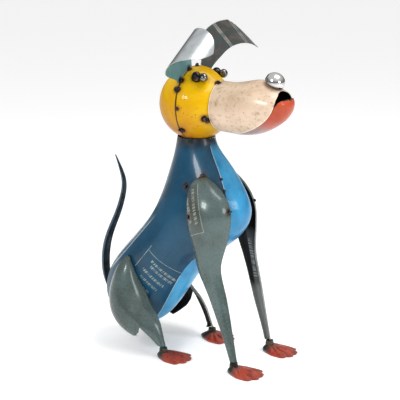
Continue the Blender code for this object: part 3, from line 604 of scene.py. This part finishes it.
cutEdge = bareSheet("cutEdge", cutEdgeLook)
darkInside = bareSheet("darkInside", darkInsideLook)
farLegInside = bareSheet("farLegInside", dict(darkInsideLook, metallic=0.2, marks=farLegMarks))
tailInside = bareSheet("tailInside", tailInsideLook)
mouthShade = bareSheet("mouthShade", mouthShadeLook)
yellowPaint = paintedSheet("yellowPaint", yellowLook)
creamPaint = paintedSheet("creamPaint", creamLook)
jawPaint = paintedSheet("jawPaint", jawLook)
bluePaint = paintedSheet("bluePaint", blueLook)
plainBlue = paintedSheet("plainBlue", plainBlueLook)
chestPaint = paintedSheet("chestPaint", chestLook)
spinePaint = paintedSheet("spinePaint", spineLook)
greenPaint = paintedSheet("greenPaint", greenLook)
printedGreen = paintedSheet("printedGreen", dict(greenLook, marks=legMarks))
pawPaint = paintedSheet("pawPaint", pawLook)
zincSheet = bareSheet("zincSheet", dict(zincLook, marks=foldShadeMarks))
plainZinc = bareSheet("plainZinc", zincLook)
tealPaint = bareSheet("tealPaint", tealLook)
darkEarPaint = bareSheet("darkEarPaint", dict(darkEarLook, marks=stripeMarks))
weldSteel = burntSteel("weldSteel", weldLook)
ankleSteel = burntSteel("ankleSteel", ankleLook)
chrome = bareSheet("chrome", dict(chromeLook, marks=noseMarks))
ballSteel = bareSheet("ballSteel", ballLook)
print("finishes mixed")


welds = {
    "head": [((0.0163, -0.0390, 0.6297), 0.0046), ((0.0146, -0.0666, 0.6078), 0.0056),
             ((0.0137, -0.0790, 0.5902), 0.0060), ((0.0198, -0.0882, 0.5520), 0.0022),
             ((0.0204, -0.0715, 0.5043), 0.0052), ((0.0699, -0.0627, 0.5320), 0.0050),
             ((0.0745, -0.0560, 0.5270), 0.0042), ((0.0799, -0.0256, 0.6032), 0.0042),
             ((0.0180, -0.0100, 0.6330), 0.0046), ((0.0264, -0.0482, 0.4793), 0.0038),
             ((0.0155, 0.0480, 0.6080), 0.0056), ((0.0145, 0.0640, 0.5850), 0.0046),
             ((0.0195, 0.0540, 0.5050), 0.0050), ((0.0699, 0.0450, 0.5320), 0.0050),
             ((0.0264, 0.0307, 0.4793), 0.0038)],
    "neck": [((0.0514, -0.0136, 0.4800), 0.0040), ((0.0505, -0.0250, 0.4800), 0.0032),
             ((-0.0215, -0.0088, 0.4790), 0.0040), ((-0.0100, -0.0400, 0.4790), 0.0030)],
    "body": [((0.1001, -0.0372, 0.4035), 0.0036), ((0.0570, -0.1049, 0.3302), 0.0030),
             ((0.1381, -0.0704, 0.3449), 0.0034), ((0.1119, -0.0441, 0.3807), 0.0030),
             ((0.0641, -0.0586, 0.4096), 0.0040), ((0.0297, -0.0710, 0.3861), 0.0036),
             ((0.1381, 0.0530, 0.3449), 0.0034), ((0.0641, 0.0410, 0.4096), 0.0040),
             ((0.0297, 0.0535, 0.3861), 0.0036)],
}
headWelds = [(Vector(spot), size * 0.9) for spot, size in welds["head"]]
neckWelds = [(Vector(spot), size) for spot, size in welds["neck"] + welds["head"]]
bodyWelds = neckWelds + [(Vector(spot), size) for spot, size in welds["body"]]


beadWork = {"jitter": 0.22, "even": 0.4, "outward": 0.6, "ease": 0.6, "easings": 2,
            "squash": (1.0, 0.86, 0.92), "sit": 0.35, "cluster": ((0.0, 1.0), (1.0, 0.62), (-0.9, 0.5))}


def skinOf(nodes):
    corners, faces = [], []
    for node in nodes:
        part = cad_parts[node]
        start = len(corners)
        corners += [part.matrix_world @ vertex.co for vertex in part.data.vertices]
        faces += [tuple(start + corner for corner in face.vertices) for face in part.data.polygons]
    return BVHTree.FromPolygons(corners, faces)


def weldBeads(name, places, skin, seed):
    letGo()
    bpy.ops.mesh.primitive_ico_sphere_add(subdivisions=3, radius=1.0, location=(0, 0, 0))
    first = bpy.context.object
    editAll(first)
    bpy.ops.transform.vertex_random(offset=beadWork["jitter"], uniform=beadWork["even"],
                                    normal=beadWork["outward"], seed=seed)
    bpy.ops.mesh.vertices_smooth(factor=beadWork["ease"], repeat=beadWork["easings"])
    bpy.ops.transform.resize(value=beadWork["squash"])
    letGo()
    applied(first, "SUBSURF", levels=1, render_levels=1)
    beads = []
    for number, (spot, size) in enumerate(places):
        touch, normal = skin.find_nearest(Vector(spot))[:2]
        aside = normal.orthogonal().normalized()
        aside.rotate(Quaternion(normal, number * 1.3))
        for turn, (shift, share) in enumerate(beadWork["cluster"]):
            bead = first.copy()
            bead.data = first.data.copy()
            bpy.context.scene.collection.objects.link(bead)
            takeUp(bead)
            bead.rotation_euler = (number * 1.9 + turn, number * 0.7, number * 2.3 + turn)
            bead.scale = (size * share, size * share, size * share)
            bead.location = touch + normal * size * share * beadWork["sit"] + aside * size * shift
            bpy.ops.object.transform_apply(location=True, rotation=True, scale=True)
            beads.append(bead)
    bpy.data.objects.remove(first, do_unlink=True)
    takeUp(beads[0])
    for bead in beads:
        bead.select_set(True)
    bpy.ops.object.join()
    whole = bpy.context.object
    whole.name = name
    whole.data.name = name
    settle(whole, [weldSteel], smooth=60)
    print(name, len(places), "clusters")


def sheetPiece(node, name, finishes, spots, corner=48, reachIn=0.0045):
    piece = mergedCopy(node, name)
    creaseCorners(piece, corner)
    sides = sortSheetFaces(piece, reachIn)
    applied(piece, "SUBSURF", levels=sheetWork["smoothLevels"], render_levels=sheetWork["smoothLevels"])
    measureDistances(piece, spots)
    settle(piece, finishes, [node])
    print(name, "sides", sides, "faces", len(piece.data.polygons))
    return piece


plainBack = [cutEdge, darkInside]
bluePieces = [("torso_side_right", "right_flank", "blue_paint", bluePaint, bodyWelds),
              ("torso_side_left", "left_flank", "blue_paint", plainBlue, bodyWelds),
              ("chest_belly_strip", "chest_and_belly", "bright_blue_paint", chestPaint, neckWelds),
              ("spine_strip", "back_strip", "worn_blue_paint", spinePaint, neckWelds)]
for node, name, slotName, paint, spots in bluePieces:
    sheetPiece(node, name, [paint] + plainBack, spots)
sheetPiece("head_back", "head_rear_half", [yellowPaint] + plainBack, headWelds)
sheetPiece("head_front", "head_front_half", [yellowPaint] + plainBack, headWelds, reachIn=0.014)
sheetPiece("muzzle", "muzzle_shell", [creamPaint, cutEdge, mouthShade], headWelds)
sheetPiece("lower_jaw", "jaw_and_tongue", [jawPaint, cutEdge, mouthShade], headWelds)
sheetPiece("ear_right", "right_ear", [zincSheet, cutEdge, tealPaint], headWelds)
sheetPiece("ear_left", "left_ear", [plainZinc, cutEdge, darkEarPaint], headWelds)
sheetPiece("tail", "tail_strip", [plainBlue, cutEdge, tailInside], [])

pawHeel = {"behind": 0.012, "height": 0.008, "burntReach": 0.012}
for side in ("right", "left"):
    legPaint, legInside = (printedGreen, darkInside) if side == "right" else (greenPaint, farLegInside)
    legSheet = [legPaint, cutEdge, legInside]
    sheetPiece("front_leg_" + side, side + "_front_leg", legSheet, bodyWelds)
    sheetPiece("hind_leg_" + side, side + "_hind_leg", [greenPaint] + plainBack, bodyWelds)
    for end in ("front", "hind"):
        name = side + "_" + end
        ankle = sheetPiece(end + "_ankle_" + side, name + "_ankle", [ankleSteel], [])
        low, high = ankle.bound_box[0], ankle.bound_box[6]
        heel = Vector(((low[0] + high[0]) / 2 - pawHeel["behind"], (low[1] + high[1]) / 2, pawHeel["height"]))
        burnt = [(heel, pawHeel["burntReach"])]
        sheetPiece(end + "_paw_" + side, name + "_paw", [pawPaint, pawPaint, pawPaint], burnt)
    sheetPiece("eye_stub_" + side, side + "_eye_stub", [weldSteel], [], corner=50)
    sheetPiece("eye_ball_" + side, side + "_eye_ball", [ballSteel], [], corner=70)
sheetPiece("nose", "nose_knob", [chrome], [], corner=50)

flanks = ["torso_side_right", "torso_side_left"]
weldBeads("head_welds", welds["head"], skinOf(["head_back", "head_front", "muzzle"]), 4)
weldBeads("neck_welds", welds["neck"], skinOf(flanks + ["chest_belly_strip", "spine_strip"]), 9)
weldBeads("body_welds", welds["body"], skinOf(flanks + ["front_leg_right", "front_leg_left"]), 15)
print("pieces made")


stage = {"floor": (0.88, 0.88, 0.88), "floorPatch": 0.99, "floorSize": 80, "floorDrop": 0.0002,
         "floorGlow": 0.26,
         "sky": 0.85, "horizon": 0.20, "skyTop": 0.75, "gamma": 0.90, "lampsAimAt": (0.05, 0, 0.35)}
lamps = {"key": {"at": (-0.15, -2.4, 1.75), "watts": 27, "size": 0.7},
         "top": {"at": (0.9, 0.3, 2.6), "watts": 30, "size": 1.3},
         "edge": {"at": (2.4, -0.3, 1.1), "watts": 12, "size": 0.7}}


def makeFloor():
    letGo()
    bpy.ops.mesh.primitive_plane_add(size=stage["floorSize"], location=(0, 0, -stage["floorDrop"]))
    floor = bpy.context.object
    floor.name = "floor"
    finish, tree, shader, place = newFinish("paleFloor")
    shade = cloud(tree, place, 3, 2, 0.5)
    patch = [part * stage["floorPatch"] for part in stage["floor"]]
    tree.links.new(mixed(tree, shade, stage["floor"], patch), shader.inputs["Base Color"])
    shader.inputs["Roughness"].default_value = 0.9
    shader.inputs["Emission Color"].default_value = (1, 1, 1, 1)
    shader.inputs["Emission Strength"].default_value = stage["floorGlow"]
    floor.data.materials.append(finish)


def makeSky():
    world = bpy.data.worlds.new("studio")
    bpy.context.scene.world = world
    world.use_nodes = True
    tree = world.node_tree
    height = addNode(tree, "ShaderNodeSeparateXYZ")
    tree.links.new(addNode(tree, "ShaderNodeTexCoord").outputs["Generated"], height.inputs[0])
    background = tree.nodes["Background"]
    glow = step(tree, height.outputs[2], 0.0, stage["skyTop"], stage["horizon"], stage["sky"])
    seen = addNode(tree, "ShaderNodeLightPath").outputs["Is Camera Ray"]
    whole = maths(tree, "MAXIMUM", glow, seen)  # the seen sky is white, the mirrored one keeps its shade
    tree.links.new(whole, background.inputs["Strength"])
    background.inputs["Color"].default_value = (1, 1, 1, 1)


def makeLamps():
    for name, look in lamps.items():
        lamp = bpy.data.lights.new(name, "AREA")
        lamp.energy = look["watts"]
        lamp.size = look["size"]
        light = bpy.data.objects.new(name, lamp)
        bpy.context.scene.collection.objects.link(light)
        light.location = look["at"]
        back = Vector(look["at"]) - Vector(stage["lampsAimAt"])
        light.rotation_euler = back.to_track_quat("Z", "Y").to_euler()


camera = {"azimuth": 33, "elevation": 14, "distance": 2.4, "lens": 105, "film": 36,
          "lookAt": (0.0854, -0.10275, 0.37)}


def makeCamera():
    azimuth, elevation = math.radians(camera["azimuth"]), math.radians(camera["elevation"])
    level = math.cos(elevation)
    back = Vector((math.sin(azimuth) * level, -math.cos(azimuth) * level, math.sin(elevation)))
    lens = bpy.data.cameras.new("lens")
    lens.lens = camera["lens"]
    lens.sensor_width = camera["film"]
    view = bpy.data.objects.new("view", lens)
    bpy.context.scene.collection.objects.link(view)
    view.location = Vector(camera["lookAt"]) + back * camera["distance"]
    view.rotation_euler = back.to_track_quat("Z", "Y").to_euler()
    bpy.context.scene.camera = view


makeFloor()
makeSky()
makeLamps()
makeCamera()
bpy.context.scene.view_settings.view_transform = "Standard"
bpy.context.scene.view_settings.gamma = stage["gamma"]
print("stage and camera set")
